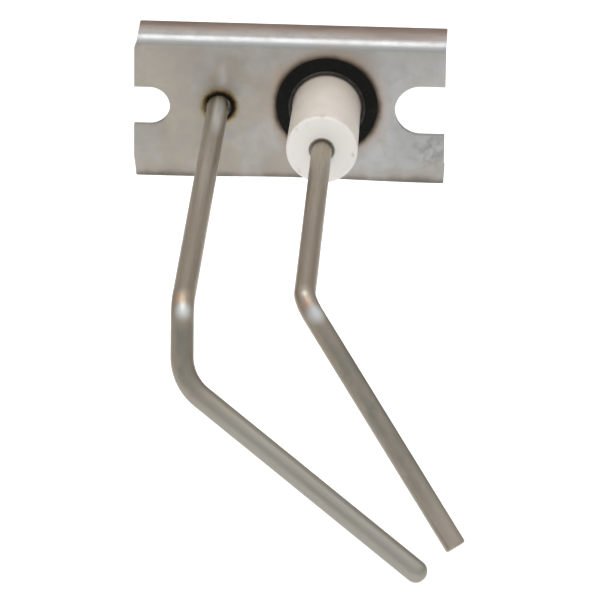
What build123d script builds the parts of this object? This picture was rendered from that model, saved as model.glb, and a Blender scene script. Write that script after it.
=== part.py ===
from build123d import *
import os
from math import cos, radians, sin

# Ignition electrode with its earth rod, on a channel bracket.
# The origin is on the insulator's axis, at the bracket's front face.
# +X runs to the right, +Y to the rear and +Z up, so the rods reach out towards -Y.
# All sizes are in millimetres.

# Bracket: a channel of sheet steel, with both flanges folded to the rear
bracket_width = 45.1
bracket_height = 22.05
sheet = 1.0
bend_inside_radius = 0.5
flange_depth = 6.8           # front face to the flanges' rear edges
top_setback = 0.45           # the top flange stops this short of the face's left end
top_slant_start = 1.8        # the face's left end slants in from here, below the top
top_slant_end = 0.55         # to here
bottom_setback = 0.3         # the same, above the bottom
bottom_slant_start = 3.5
bottom_slant_end = 1.2
bottom_corner_radius = 0.65  # seen from the front, at both ends of the lower bend
flange_corner_radius = 0.5   # at the top flange's rear left corner
insulator_to_right_end = 17.1
insulator_to_top = 9.95

# Fixing notches, open at the bracket's two ends
left_notch_width = 5.9
left_notch_depth = 5.2
left_notch_drop = 0.8        # notch centre line below the insulator's axis
right_notch_width = 7.6
right_notch_depth = 7.25
right_notch_drop = 0.45

# Ceramic insulator
insulator_diameter = 9.8          # inside the ferrule and to the rear
insulator_flare = 0.225           # the front end's radius is larger by this
insulator_front_length = 17.3     # in front of the bracket's face
insulator_rear_length = 16.0      # behind it
insulator_rim_radius = 0.45
bore_clearance = 0.2              # between the bore's wall and the spark rod
groove_depth = 0.45               # the ferrule's rear rim is rolled into this
groove_length = 1.4

# Ferrule around the insulator, welded into the bracket
ferrule_wall = 0.55
ferrule_lip = 0.9                 # stands this far in front of the face
ferrule_lip_radius = 0.24
ferrule_rear_length = 8.5         # behind the face
ferrule_shoulder_width = 1.2
ferrule_shoulder_thickness = 1.2
rolled_rim_length = 0.8
rolled_rim_clearance = 0.1
cement_gap = 0.15                 # between ferrule and insulator
cement_recess = 0.35              # cement stops this short of the lip's front
ferrule_hole_clearance = 0.05

# Weld around the ferrule, and the weld at the foot of the earth rod
ferrule_weld_width = 1.75
ferrule_weld_height = 0.6
earth_weld_width = 0.8
earth_weld_height = 0.55
weld_toe_height = 0.08
weld_penetration = 0.15           # both welds melt this far into the sheet

# Rods
spark_rod_diameter = 3.0
earth_rod_diameter = 3.2
first_bend_radius = 3.5           # each rod's first bend, to the rod's centre line
second_bend_radius = 7.0
leg_slope = 25.0                  # degrees the bent legs lean out from the bracket's plane
spark_bend_reach = 71.3           # face to the bend's corner
spark_leg_length = 39.0
spark_leg_turn = 33.3             # degrees to the right of straight down
spark_end_chamfer = 0.15
bore_cement_recess = 0.25         # behind the insulator's front end

earth_rod_spacing = 15.75         # between the two rods at the bracket
earth_rod_drop = 0.3
earth_rod_splay = 0.5             # extra spacing at the first bend
earth_bend_reach = 73.1
earth_drop_length = 10.4
earth_drop_turn = 1.3
earth_leg_length = 41.95
earth_leg_turn = 52.7
earth_hole_clearance = 0.1
earth_rod_tail = 0.5              # stands this far behind the sheet

# Push-on terminal at the rear
terminal_diameter = 4.0
terminal_length = 8.0
terminal_wall_end = 1.2
terminal_collar_diameter = 6.0
terminal_collar_thickness = 1.0
terminal_end_radius = 0.6

spark_radius = spark_rod_diameter / 2
earth_radius = earth_rod_diameter / 2
bore_radius = spark_radius + bore_clearance
root_radius = insulator_diameter / 2
front_radius = root_radius + insulator_flare
ferrule_bore_radius = root_radius + cement_gap
ferrule_radius = ferrule_bore_radius + ferrule_wall
ferrule_weld_radius = ferrule_radius + ferrule_weld_width
earth_weld_radius = earth_radius + earth_weld_width
bend_outside_radius = bend_inside_radius + sheet
bracket_left = insulator_to_right_end - bracket_width
bracket_bottom = insulator_to_top - bracket_height
flange_left = bracket_left + top_setback
terminal_rear = insulator_rear_length + terminal_length
rod_rear = terminal_rear - terminal_wall_end


def axis_plane(y, x=0.0, z=0.0):
    """A plane across the insulator's axis, facing the front, at depth y."""
    return Plane(origin=(x, y, z), x_dir=(1, 0, 0), z_dir=(0, -1, 0))


def leg_step(length, turn):
    """The step along a bent leg that turns by an angle from straight down in the sloped plane."""
    down = length * cos(radians(turn))
    return Vector(
        length * sin(radians(turn)),
        -down * sin(radians(leg_slope)),
        -down * cos(radians(leg_slope)),
    )


def save(builder, name):
    """Label a finished piece and write its STEP file."""
    builder.part.label = name
    export_step(builder.part, f"parts/{name}.step")


os.makedirs("parts", exist_ok=True)

# Rod centre lines
spark_bend = Vector(0, -spark_bend_reach, 0)
spark_tip = spark_bend + leg_step(spark_leg_length, spark_leg_turn)

earth_foot = Vector(-earth_rod_spacing, 0, -earth_rod_drop)
earth_bend = earth_foot + Vector(-earth_rod_splay, -earth_bend_reach, 0)
earth_corner = earth_bend + leg_step(earth_drop_length, earth_drop_turn)
earth_tip = earth_corner + leg_step(earth_leg_length - earth_radius, earth_leg_turn)
earth_run = (earth_bend - earth_foot).normalized()
earth_tail = earth_foot - earth_run * (sheet + earth_rod_tail)

with BuildPart() as bracket:
    with BuildSketch(Plane.YZ.offset(bracket_left)) as channel:
        with Locations((0, bracket_bottom)):
            Rectangle(flange_depth, bracket_height, align=(Align.MIN, Align.MIN))
        with Locations((sheet, bracket_bottom + sheet)):
            Rectangle(
                flange_depth - sheet,
                bracket_height - 2 * sheet,
                align=(Align.MIN, Align.MIN),
                mode=Mode.SUBTRACT,
            )
        fillet(channel.vertices().group_by(Axis.X)[0], bend_outside_radius)
        fillet(channel.vertices().group_by(Axis.X)[-1], sheet / 5)
        inside_corners = channel.vertices().filter_by(
            lambda v: abs(v.X - sheet) < sheet / 100
        )
        fillet(inside_corners, bend_inside_radius)
    extrude(amount=bracket_width)
    with BuildSketch(axis_plane(0)) as front_outline:
        with BuildLine():
            Polyline(
                (bracket_left, insulator_to_top - top_slant_start),
                (flange_left, insulator_to_top - top_slant_end),
                (flange_left, insulator_to_top),
                (insulator_to_right_end, insulator_to_top),
                (insulator_to_right_end, bracket_bottom),
                (bracket_left + bottom_setback, bracket_bottom),
                (bracket_left + bottom_setback, bracket_bottom + bottom_slant_end),
                (bracket_left, bracket_bottom + bottom_slant_start),
                close=True,
            )
        make_face()
        fillet(front_outline.vertices().group_by(Axis.Y)[0], bottom_corner_radius)
    extrude(amount=-flange_depth, mode=Mode.INTERSECT)
    with BuildSketch(Plane.XY.offset(insulator_to_top)) as flange_corner:
        with Locations((flange_left, flange_depth)):
            Rectangle(flange_corner_radius, flange_corner_radius, align=(Align.MIN, Align.MAX))
        with Locations((flange_left + flange_corner_radius, flange_depth - flange_corner_radius)):
            Circle(flange_corner_radius, mode=Mode.SUBTRACT)
    extrude(amount=-sheet, mode=Mode.SUBTRACT)
    with BuildSketch(axis_plane(0)) as cut_outs:
        for end_x, inward, width, depth, drop in (
            (bracket_left, 1, left_notch_width, left_notch_depth, left_notch_drop),
            (insulator_to_right_end, -1, right_notch_width, right_notch_depth, right_notch_drop),
        ):
            arc_x = end_x + inward * (depth - width / 2)
            with Locations((arc_x, -drop)):
                Circle(width / 2)
                Rectangle(depth, width, align=(Align.MAX if inward > 0 else Align.MIN, Align.CENTER))
        Circle(ferrule_radius + ferrule_hole_clearance)
        with Locations((-earth_rod_spacing, -earth_rod_drop)):
            Circle(earth_radius + earth_hole_clearance)
    extrude(amount=-sheet, mode=Mode.SUBTRACT)
    with BuildSketch(axis_plane(0)) as weld_beds:
        Circle(ferrule_weld_radius)
        with Locations((-earth_rod_spacing, -earth_rod_drop)):
            Circle(earth_weld_radius)
    extrude(amount=-weld_penetration, mode=Mode.SUBTRACT)
save(bracket, "bracket")

with BuildPart() as insulator:
    with BuildSketch(Plane.XY) as half_section:
        with BuildLine():
            Polyline(
                (bore_radius, -insulator_front_length),
                (front_radius, -insulator_front_length),
                (root_radius, -ferrule_lip),
                (root_radius, ferrule_rear_length - groove_length),
                (root_radius - groove_depth, ferrule_rear_length - groove_length),
                (root_radius - groove_depth, ferrule_rear_length),
                (root_radius, ferrule_rear_length),
                (root_radius, insulator_rear_length),
                (bore_radius, insulator_rear_length),
                close=True,
            )
        make_face()
    revolve(axis=Axis.Y)
    rims = insulator.edges().filter_by(GeomType.CIRCLE)
    front_rim = rims.group_by(Axis.Y)[0].sort_by(lambda e: e.radius)[-1]
    rear_rim = rims.group_by(Axis.Y)[-1].sort_by(lambda e: e.radius)[-1]
    fillet([front_rim, rear_rim], insulator_rim_radius)
save(insulator, "insulator")

with BuildPart() as ferrule:
    rim_bore_radius = root_radius - groove_depth + rolled_rim_clearance
    shoulder_radius = ferrule_radius + ferrule_shoulder_width
    with BuildSketch(Plane.XY) as half_section:
        with BuildLine():
            Polyline(
                (ferrule_bore_radius, -ferrule_lip),
                (ferrule_radius, -ferrule_lip),
                (ferrule_radius, sheet),
                (shoulder_radius, sheet),
                (shoulder_radius, sheet + ferrule_shoulder_thickness),
                (ferrule_radius, sheet + ferrule_shoulder_thickness),
                (ferrule_radius, ferrule_rear_length - rolled_rim_clearance),
                (rim_bore_radius, ferrule_rear_length - rolled_rim_clearance),
                (rim_bore_radius, ferrule_rear_length - rolled_rim_length - rolled_rim_clearance),
                (ferrule_bore_radius, ferrule_rear_length - rolled_rim_length - rolled_rim_clearance),
                close=True,
            )
        make_face()
        lip_corners = half_section.vertices().group_by(Axis.Y)[0]
        fillet(lip_corners, ferrule_lip_radius)
    revolve(axis=Axis.Y)
save(ferrule, "ferrule")

with BuildPart() as ferrule_cement:
    with BuildSketch(axis_plane(cement_recess - ferrule_lip)):
        Circle(ferrule_bore_radius)
        Circle(root_radius, mode=Mode.SUBTRACT)
    extrude(amount=-(ferrule_rear_length - groove_length - cement_recess + ferrule_lip))
save(ferrule_cement, "ferrule_cement")


def weld_section(x, z, inner_radius, outer_radius, height):
    """The section of a hollow-faced fillet weld in its bed around (x, z) on the bracket's face."""
    width = outer_radius - inner_radius
    crown = (inner_radius, -height)
    belly = (inner_radius + 0.45 * width, -0.62 * height)
    toe = (outer_radius, -weld_toe_height)
    root = (inner_radius, weld_penetration)
    with BuildSketch(Plane((x, 0, z)), mode=Mode.PRIVATE) as section:
        with BuildLine():
            Line(root, crown)
            ThreePointArc(crown, belly, toe)
            Polyline(toe, (outer_radius, weld_penetration), root)
        make_face()
    return section.sketch


with BuildPart() as ferrule_weld:
    revolve(weld_section(0, 0, ferrule_radius, ferrule_weld_radius, ferrule_weld_height), axis=Axis.Y)
save(ferrule_weld, "ferrule_weld")

with BuildPart() as spark_rod:
    with BuildLine() as spark_path:
        FilletPolyline((0, rod_rear, 0), spark_bend, spark_tip, radius=first_bend_radius)
    with BuildSketch(axis_plane(rod_rear)):
        Circle(spark_radius)
    sweep()
    tip_face = spark_rod.faces().filter_by(GeomType.PLANE).sort_by(Axis.Z)[0]
    chamfer(tip_face.edges(), spark_end_chamfer)
save(spark_rod, "spark_rod")

with BuildPart() as bore_cement:
    with BuildSketch(axis_plane(bore_cement_recess - insulator_front_length)):
        Circle(bore_radius)
        Circle(spark_radius, mode=Mode.SUBTRACT)
    extrude(amount=-(insulator_front_length + insulator_rear_length - bore_cement_recess))
save(bore_cement, "bore_cement")

with BuildPart() as terminal_pin:
    with BuildSketch(Plane.XY) as half_section:
        with BuildLine():
            Polyline(
                (spark_radius, insulator_rear_length),
                (terminal_collar_diameter / 2, insulator_rear_length),
                (terminal_collar_diameter / 2, insulator_rear_length + terminal_collar_thickness),
                (terminal_diameter / 2, insulator_rear_length + terminal_collar_thickness),
                (terminal_diameter / 2, terminal_rear),
                (0, terminal_rear),
                (0, rod_rear),
                (spark_radius, rod_rear),
                close=True,
            )
        make_face()
    revolve(axis=Axis.Y)
    rear_face = terminal_pin.faces().filter_by(GeomType.PLANE).sort_by(Axis.Y)[-1]
    fillet(rear_face.edges(), terminal_end_radius)
save(terminal_pin, "terminal_pin")

with BuildPart() as earth_rod:
    with BuildLine() as earth_path:
        FilletPolyline(
            earth_tail,
            earth_bend,
            earth_corner,
            earth_tip,
            radius=[first_bend_radius, second_bend_radius],
        )
    with BuildSketch(Plane(earth_path.line @ 0, z_dir=earth_path.line % 0)):
        Circle(earth_radius)
    sweep()
    with Locations(earth_tip):
        Sphere(earth_radius)
save(earth_rod, "earth_rod")

with BuildPart() as earth_rod_weld:
    section = weld_section(
        earth_foot.X,
        earth_foot.Z,
        earth_radius - earth_hole_clearance,
        earth_weld_radius,
        earth_weld_height,
    )
    revolve(section, axis=Axis(earth_foot, (0, 1, 0)))
    add(earth_rod.part, mode=Mode.SUBTRACT)
save(earth_rod_weld, "earth_rod_weld")
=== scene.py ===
from math import cos, pi, radians, sin, tan

import bmesh
import bpy
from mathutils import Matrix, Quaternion, Vector


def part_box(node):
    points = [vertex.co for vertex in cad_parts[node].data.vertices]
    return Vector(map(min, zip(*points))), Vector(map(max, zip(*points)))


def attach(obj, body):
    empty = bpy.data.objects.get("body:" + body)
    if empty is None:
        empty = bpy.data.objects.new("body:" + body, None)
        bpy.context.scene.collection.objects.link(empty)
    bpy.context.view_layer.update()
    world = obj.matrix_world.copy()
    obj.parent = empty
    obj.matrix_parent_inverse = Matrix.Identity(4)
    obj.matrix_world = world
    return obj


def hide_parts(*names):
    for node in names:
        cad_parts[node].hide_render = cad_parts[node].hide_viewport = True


# Ignition electrode with its earth rod on a channel bracket.
# +X runs along the bracket to its wider notch, +Y to the rear and +Z up.
# Sizes are in millimetres, and meshes are made in metres.

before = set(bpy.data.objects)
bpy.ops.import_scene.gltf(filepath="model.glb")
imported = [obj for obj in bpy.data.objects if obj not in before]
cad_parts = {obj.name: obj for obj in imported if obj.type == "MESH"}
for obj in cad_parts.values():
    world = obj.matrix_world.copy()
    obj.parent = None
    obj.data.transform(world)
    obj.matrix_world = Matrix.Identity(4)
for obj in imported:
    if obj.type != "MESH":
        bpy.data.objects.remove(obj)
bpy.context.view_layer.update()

MM = 0.001
BODY = "root"

# Camera, floor and surrounding light, with places and sizes in metres
CAMERA_PLACE = (0.0317, -0.8373, 0.3297)
CAMERA_TURN = (66.7269, -0.665, 2.6967)  # degrees about X, Y and Z
CAMERA_LENS = 372.9  # millimetres
FLOOR_DROP = 0.26  # metres below the insulator's axis
FLOOR_SIZE = 8.0
AIR_STRENGTH = 1.0

# The CAD model's driving sizes, with half of its diameters for the rods and the terminal
SHEET = 1.0
BORE_CLEARANCE = 0.2
INSULATOR_DIAMETER = 9.8
INSULATOR_FLARE = 0.225
INSULATOR_RIM_RADIUS = 0.45
GROOVE_DEPTH = 0.45
GROOVE_LENGTH = 1.4
FERRULE_WALL = 0.55
FERRULE_LIP = 0.9
FERRULE_REAR_LENGTH = 8.5
FERRULE_SHOULDER_WIDTH = 1.2
FERRULE_SHOULDER_THICKNESS = 1.2
ROLLED_RIM_LENGTH = 0.8
ROLLED_RIM_CLEARANCE = 0.1
CEMENT_GAP = 0.15
CEMENT_RECESS = 0.35
WELD_TOE_HEIGHT = 0.08
WELD_PENETRATION = 0.15
EARTH_ROD_TAIL = 0.5
BORE_CEMENT_RECESS = 0.25
TERMINAL_WALL_END = 1.2
TERMINAL_COLLAR_THICKNESS = 1.0
TERMINAL_RADIUS = 2.0
TERMINAL_END_RADIUS = 0.6
SPARK_RADIUS = 1.5
EARTH_RADIUS = 1.6
FIRST_BEND_RADIUS = 3.5
SECOND_BEND_RADIUS = 7.0
LEG_SLOPE = 25.0
SPARK_BEND_REACH = 71.3
SPARK_LEG_LENGTH = 39.0
SPARK_LEG_TURN = 33.3
EARTH_ROD_SPACING = 15.75
EARTH_ROD_DROP = 0.3
EARTH_ROD_SPLAY = 0.5
EARTH_BEND_REACH = 73.1
EARTH_DROP_LENGTH = 10.4
EARTH_DROP_TURN = 1.3
EARTH_LEG_LENGTH = 41.95
EARTH_LEG_TURN = 52.7

# Finer sizes that only the looks need
BOW_CUTS = 22
BOW_MIDDLE = -4.5
BOW_REACH = 19.0
BOW_RISE = 0.3
BOW_FADE = 3.0
ROD_SIDES = 56
THINNEST_TIP = 0.02
END_SPACE = 1.2  # path points nearer an end than this many roundings are dropped
ROD_DENTS = 0.015
ROD_END_ROUNDING = 0.15
SPARK_TIP_ROUNDING = 0.35
ROD_TRIM = 0.03  # keeps the rods just inside their CAD solids
RIM_ROUNDING = 0.24
SMALL_ROUNDING = 0.12
EDGE_BREAK = 0.09
INSULATOR_SIDES = 192
BEAD_HOLLOW = 1.35  # above 1, the weld's slope sags below a straight one
RIPPLE_HEIGHT = 0.012
CRUST_HEIGHT = 0.07
EDGE_WAVER = 0.35
EARTH_WELD_INSET = 0.02  # from the CAD rod's surface inwards

# Tints in linear light
FOOT_GOLD = (0.40, 0.285, 0.130)
FOOT_BROWN = (0.060, 0.036, 0.012)
FOOT_BLACK = (0.012, 0.010, 0.008)
RING_BLUSH = (0.50, 0.375, 0.300)
RING_STRAW = (0.33, 0.235, 0.150)
RING_BROWN = (0.075, 0.045, 0.020)
RING_BLACK = (0.010, 0.009, 0.008)
SHEET_COOL_LIGHT = (0.525, 0.527, 0.523)
SHEET_PATCH = (0.450, 0.435, 0.425)
SHEET_GRAIN = (0.40, 0.38, 0.35)
SHEET_HIGH = (0.40, 0.385, 0.365)
SMUDGE_GREY = (0.29, 0.285, 0.285)
SMUDGE_PALE = (0.66, 0.65, 0.64)
STREAK_HIGHLIGHT = (0.66, 0.66, 0.65)
FOLD_SHADE_PINK = (0.400, 0.345, 0.295)
FOLD_SHADE = (0.120, 0.106, 0.084)
FOLD_HIGHLIGHT = (0.540, 0.555, 0.560)
FLANGE_WORN = (0.42, 0.37, 0.34)
ROD_BLOTCH = (0.440, 0.430, 0.375)
ROD_FINE = (0.330, 0.280, 0.215)
ROD_FAR_SHADE = (0.375, 0.322, 0.258)
ROOT_HIGHLIGHT = (0.92, 0.91, 0.89)
SPARK_LEG = (0.475, 0.425, 0.375)
EARTH_LEG = (0.430, 0.432, 0.400)
CERAMIC_FACE_LIGHT = (0.790, 0.765, 0.735)
CERAMIC_SPECK = (0.50, 0.44, 0.36)
CERAMIC_WARM = (0.670, 0.565, 0.470)
CERAMIC_SCUFF = (0.42, 0.385, 0.35)
BORE_SHADE = (0.20, 0.165, 0.13)


def box_mm(node):
    """A CAD node's lowest and highest corners in millimetres."""
    low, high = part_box(node)
    return low / MM, high / MM


BRACKET_LOW, BRACKET_HIGH = box_mm("bracket")
FLANGE_DEPTH = BRACKET_HIGH.y
INSULATOR_FRONT = box_mm("insulator")[0].y
INSULATOR_REAR = box_mm("insulator")[1].y
TERMINAL_REAR = box_mm("terminal_pin")[1].y
COLLAR_RADIUS = box_mm("terminal_pin")[1].x
FERRULE_WELD_HEIGHT = -box_mm("ferrule_weld")[0].y
FERRULE_WELD_RADIUS = box_mm("ferrule_weld")[1].x
EARTH_WELD_HEIGHT = -box_mm("earth_rod_weld")[0].y
EARTH_WELD_RADIUS = box_mm("earth_rod_weld")[1].x + EARTH_ROD_SPACING

ROOT_RADIUS = INSULATOR_DIAMETER / 2
BORE_RADIUS = SPARK_RADIUS + BORE_CLEARANCE
FERRULE_BORE_RADIUS = ROOT_RADIUS + CEMENT_GAP
FERRULE_RADIUS = FERRULE_BORE_RADIUS + FERRULE_WALL
EARTH_FOOT = Vector((-EARTH_ROD_SPACING, 0, -EARTH_ROD_DROP))
FERRULE_CENTRE = Vector((0, 0, 0))
RING_EDGE = FERRULE_WELD_RADIUS - 0.1
SHADED_SIDE = (0.83, -0.25, 0.50)  # the direction that the side with painted shade faces


# Nodes for materials


class Shade:
    """A material under construction, with short calls for the nodes that it needs."""

    def __init__(self, name):
        self.material = bpy.data.materials.new(name)
        self.material.use_nodes = True
        self.tree = self.material.node_tree
        self.shader = self.tree.nodes["Principled BSDF"]
        coordinates = self.tree.nodes.new("ShaderNodeTexCoord")
        self.place = self.scaled(coordinates.outputs["Object"], (1 / MM, 1 / MM, 1 / MM))

    def node(self, kind, **settings):
        made = self.tree.nodes.new(kind)
        for key, value in settings.items():
            setattr(made, key, value)
        return made

    def plug(self, socket, value):
        if isinstance(value, bpy.types.NodeSocket):
            self.tree.links.new(value, socket)
        else:
            socket.default_value = value

    def scaled(self, vector, scale, shift=(0, 0, 0)):
        made = self.node("ShaderNodeMapping")
        self.plug(made.inputs["Vector"], vector)
        made.inputs["Scale"].default_value = scale
        made.inputs["Location"].default_value = shift
        return made.outputs["Vector"]

    def attribute(self, name):
        made = self.node("ShaderNodeAttribute", attribute_name=name)
        return made.outputs["Vector"]

    def axes(self, vector):
        made = self.node("ShaderNodeSeparateXYZ")
        self.plug(made.inputs[0], vector)
        return made.outputs

    def noise(self, vector, scale, detail=4.0, roughness=0.55, distortion=0.0):
        made = self.node("ShaderNodeTexNoise")
        self.plug(made.inputs["Vector"], vector)
        made.inputs["Scale"].default_value = scale
        made.inputs["Detail"].default_value = detail
        made.inputs["Roughness"].default_value = roughness
        made.inputs["Distortion"].default_value = distortion
        return made.outputs["Fac"]

    def math(self, operation, first, second=0.0, clamp=False):
        made = self.node("ShaderNodeMath", operation=operation, use_clamp=clamp)
        self.plug(made.inputs[0], first)
        self.plug(made.inputs[1], second)
        return made.outputs[0]

    def times(self, first, second):
        return self.math("MULTIPLY", first, second)

    def plus(self, first, second):
        return self.math("ADD", first, second)

    def step(self, value, low, high, to_low=0.0, to_high=1.0):
        """Ease a value from one range to another, held at the ends."""
        made = self.node("ShaderNodeMapRange", interpolation_type="SMOOTHSTEP")
        self.plug(made.inputs["Value"], value)
        limits = {"From Min": low, "From Max": high, "To Min": to_low, "To Max": to_high}
        for socket, number in limits.items():
            made.inputs[socket].default_value = number
        return made.outputs["Result"]

    def ramp(self, value, stops):
        made = self.node("ShaderNodeValToRGB")
        self.plug(made.inputs[0], value)
        elements = made.color_ramp.elements
        while len(elements) < len(stops):
            elements.new(0.5)
        for element, (place, colour) in zip(elements, stops):
            element.position = place
            element.color = (*colour, 1)
        return made.outputs["Color"]

    def mix(self, share, first, second, blend="MIX"):
        made = self.node("ShaderNodeMix", data_type="RGBA", blend_type=blend)
        self.plug(made.inputs[0], share)
        for socket, value in ((made.inputs[6], first), (made.inputs[7], second)):
            self.plug(socket, (*value, 1) if isinstance(value, tuple) else value)
        return made.outputs[2]

    def distance(self, x, z, wobble=0.0, scale=0.6):
        """The distance in millimetres from a line along Y through (x, z), with an uneven edge."""
        moved = self.scaled(self.place, (1, 0, 1), (-x, 0, -z))
        made = self.node("ShaderNodeVectorMath", operation="LENGTH")
        self.plug(made.inputs[0], moved)
        if not wobble:
            return made.outputs["Value"]
        waver = self.math("SUBTRACT", self.noise(self.place, scale, 3.0), 0.5)
        return self.math("ADD", made.outputs["Value"], self.math("MULTIPLY", waver, wobble))

    def near(self, point, inner, outer, stretch=(1, 1, 1)):
        """1 within the inner reach of a point in millimetres, fading to 0 at the outer reach."""
        moved = self.scaled(self.place, stretch, tuple(-a * b for a, b in zip(point, stretch)))
        made = self.node("ShaderNodeVectorMath", operation="LENGTH")
        self.plug(made.inputs[0], moved)
        return self.step(made.outputs["Value"], inner, outer, 1.0, 0.0)

    def distance_across(self, value, middle, wobble=0.0):
        """How far a coordinate is from a middle value, with an uneven edge."""
        waver = self.math("SUBTRACT", self.noise(self.place, 0.5, 3.0), 0.5)
        moved = self.math("ADD", value, self.math("MULTIPLY", waver, wobble))
        return self.math("ABSOLUTE", self.math("SUBTRACT", moved, middle))

    def bump(self, height, strength, reach, under=None):
        made = self.node("ShaderNodeBump")
        self.plug(made.inputs["Height"], height)
        made.inputs["Strength"].default_value = strength
        made.inputs["Distance"].default_value = reach * MM
        if under is not None:
            self.plug(made.inputs["Normal"], under)
        return made.outputs["Normal"]

    def finish(self, colour, roughness, metallic=0.0, normal=None, **constants):
        self.plug(self.shader.inputs["Base Color"], (*colour, 1) if isinstance(colour, tuple) else colour)
        self.plug(self.shader.inputs["Roughness"], roughness)
        self.plug(self.shader.inputs["Metallic"], metallic)
        if normal is not None:
            self.plug(self.shader.inputs["Normal"], normal)
        for socket, value in constants.items():
            self.shader.inputs[socket.replace("_", " ")].default_value = value
        return self.material


# Materials


def foot_distance(s):
    """The uneven distance from the middle of the heat rings at the earth rod's foot."""
    return s.distance(EARTH_FOOT.x + 0.15, EARTH_FOOT.z - 0.25, 0.5, 0.8)


def foot_rings(s, colour, away):
    """Heat rings round the earth rod's foot, from black through brown and gold to a given colour."""
    low_left = s.distance(EARTH_FOOT.x - 2.2, EARTH_FOOT.z - 0.9, 0.4, 0.7)
    gold = s.step(away, 2.45, 3.20, 0.72, 0.0)
    colour = s.mix(gold, colour, FOOT_GOLD)
    brown = s.times(s.step(away, 2.10, 2.85, 1.0, 0.0), s.step(low_left, 0.3, 1.8, 0.72, 1.0))
    colour = s.mix(brown, colour, FOOT_BROWN)
    black = s.times(s.step(away, 1.95, 2.45, 1.0, 0.0), s.step(low_left, 0.8, 2.4, 0.15, 1.0))
    return s.mix(black, colour, FOOT_BLACK)


def ferrule_rings(s, colour, away):
    """Heat rings round the ferrule's weld, from black through brown and straw to a given colour."""
    for start, end, share, tint in (
        (0.6, 3.0, 0.30, RING_BLUSH),
        (0.3, 1.6, 0.42, RING_STRAW),
        (0.0, 1.05, 0.92, RING_BROWN),
        (-0.35, 0.65, 1.0, RING_BLACK),
    ):
        ring = s.step(away, RING_EDGE + start, RING_EDGE + end, share, 0.0)
        colour = s.mix(ring, colour, tint)
    return colour


def plain_sheet(s, x, z, clouds, cast, patches, grain):
    """The sheet away from its welds and folds: warm steel, with painted light that makes it cooler and
    brighter towards the right.
    """
    colour = s.ramp(clouds, [(0.30, (0.385, 0.345, 0.293)), (0.70, (0.490, 0.450, 0.392))])
    # painted light: cooler and brighter towards the right, made uneven by noise
    right = s.plus(s.step(x, -22, 8, -0.45, 0.55), s.step(cast, 0.35, 0.65, 0.0, 0.80))
    right = s.math("MAXIMUM", s.math("MINIMUM", right, 1.0), 0.0)
    colour = s.mix(right, colour, SHEET_COOL_LIGHT)
    colour = s.mix(s.step(patches, 0.48, 0.66, 0.0, 0.35), colour, SHEET_PATCH)
    colour = s.mix(s.step(grain, 0.3, 0.7, 0.0, 0.14), colour, SHEET_GRAIN)
    return s.mix(s.step(z, 3.0, 8.4, 0.0, 0.12), colour, SHEET_HIGH)


def handled_corner(s, colour, y):
    """Grey and pale smudges low on the right of the face, and a mask of the grey ones."""
    smudge = s.noise(s.scaled(s.place, (1, 1, 1), (3, 0, 5)), 0.62, 5.0, 0.60, 0.3)
    corner = s.step(s.distance(15.0, -6.6, 2.0, 0.5), 0.8, 4.2, 1.0, 0.0)
    corner = s.times(corner, s.step(y, 0.5, 0.1))
    handled = s.times(corner, s.step(smudge, 0.42, 0.66))
    colour = s.mix(s.times(handled, 0.55), colour, SMUDGE_GREY)
    pale = s.times(corner, s.step(smudge, 0.50, 0.36, 0.0, 1.0))
    return s.mix(s.times(pale, 0.22), colour, SMUDGE_PALE), handled


def upright_highlight_streak(s, colour, x, z):
    """A painted highlight: a pale streak on the face above the earth rod's foot."""
    streak = s.step(s.distance_across(x, -15.2, 0.8), 0.0, 1.1, 1.0, 0.0)
    streak = s.times(streak, s.step(z, 2.2, 3.4))
    streak = s.times(streak, s.step(z, 3.2, 7.6, 1.0, 0.0))
    return s.mix(s.times(streak, 0.60), colour, STREAK_HIGHLIGHT)


def lower_fold_painted_shade(s, colour, z, cast):
    """Painted shade: the steel turns pink and then dark towards the lower fold."""
    drift = s.plus(z, s.step(cast, 0.3, 0.7, -0.3, 0.3))
    # painted shade: pink, then dark towards the lower fold
    pink = s.step(drift, BRACKET_LOW.z + 0.8, BRACKET_LOW.z + 3.2, 1.0, 0.0)
    dark = s.step(drift, BRACKET_LOW.z, BRACKET_LOW.z + 1.7, 1.0, 0.0)
    colour = s.mix(s.times(pink, 0.55), colour, FOLD_SHADE_PINK)
    return s.mix(s.times(dark, 0.94), colour, FOLD_SHADE)


def upper_fold_painted_light(s, colour, x, y, z, patches):
    """A painted highlight on the upper fold, and a painted reflection on the flange that turns from grey to
    brown towards the rear.
    """
    waver = s.noise(s.scaled(s.place, (0.3, 1, 1)), 0.3, 4.0)
    across = s.plus(y, s.step(waver, 0.3, 0.7, -0.6, 0.6))
    across = s.plus(across, s.step(x, -8, 12, 0.0, 0.8))
    # painted reflection on the flange: pale near the fold, dark brown at the rear, mottled with worn patches
    flange = s.ramp(
        s.step(across, 0.0, FLANGE_DEPTH),
        [(0.05, (0.67, 0.675, 0.675)), (0.22, (0.68, 0.65, 0.625)), (0.50, (0.61, 0.53, 0.48)),
         (0.75, (0.49, 0.405, 0.355)), (1.0, (0.30, 0.215, 0.175))],
    )
    flange = s.mix(s.step(patches, 0.4, 0.7, 0.0, 0.35), flange, FLANGE_WORN)
    # painted highlight along the upper fold
    fold = s.step(z, BRACKET_HIGH.z - 1.7, BRACKET_HIGH.z - 0.7, 0.0, 0.8)
    colour = s.mix(fold, colour, FOLD_HIGHLIGHT)
    on_top = s.times(s.step(z, BRACKET_HIGH.z - 1.1, BRACKET_HIGH.z - 0.25), s.step(y, 0.2, 1.3))
    return s.mix(on_top, colour, flange)


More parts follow.
